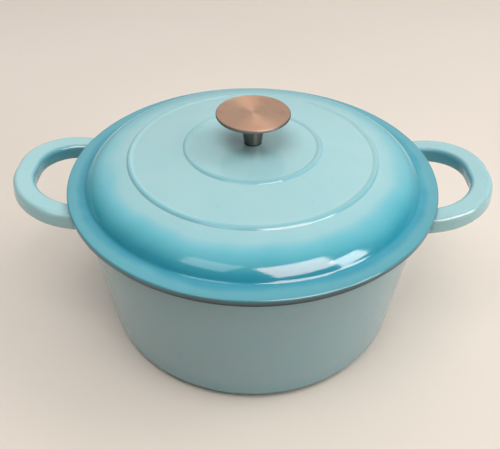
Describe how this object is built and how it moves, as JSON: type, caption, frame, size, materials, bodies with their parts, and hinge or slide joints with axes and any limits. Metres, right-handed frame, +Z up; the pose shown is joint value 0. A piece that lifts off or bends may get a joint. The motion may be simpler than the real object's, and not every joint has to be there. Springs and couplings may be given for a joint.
{
  "type": "dutch oven",
  "caption": "Round enamelled cast iron cooking pot with loop handles and a domed lid that lifts off, with raised rings and a brushed disc knob.",
  "frame": {"origin": "middle of the foot ring, on the surface that the pot stands on", "axes": "+Z up along the pot's axis, +X from one loop handle to the other"},
  "size_m": [0.3548, 0.272, 0.171],
  "materials": {
    "bare_iron": "rough grey iron, bare on the foot ring",
    "teal_enamel": "glossy enamel, pale in the middle of the lid and deeper teal towards the edge",
    "cream_enamel": "glossy cream enamel",
    "dark_enamel": "satin charcoal enamel",
    "brushed_bronze": "copper-bronze metal, brushed in circles",
    "dark_steel": "dark satin steel",
    "black_rubber": "matt black",
    "bright_steel": "plain bright steel"
  },
  "bodies": {
    "pot": {"pot_casting": "bare_iron", "pot_outer_enamel": "teal_enamel", "pot_inner_enamel": "cream_enamel", "pot_rim_coat": "dark_enamel"},
    "lid": {"lid_casting": "bare_iron", "lid_outer_enamel": "teal_enamel", "lid_inner_enamel": "cream_enamel", "lid_rim_coat": "dark_enamel", "knob_cap": "brushed_bronze", "knob_body": "dark_steel", "knob_gasket": "black_rubber", "knob_screw": "bright_steel", "flat_washer": "bright_steel", "lock_washer": "bright_steel"}
  },
  "joints": [
    {"name": "lid_lift", "type": "slide", "parent": "pot", "child": "lid", "axis": [0, 0, 1], "range_m": [0, 0.15]}
  ]
}
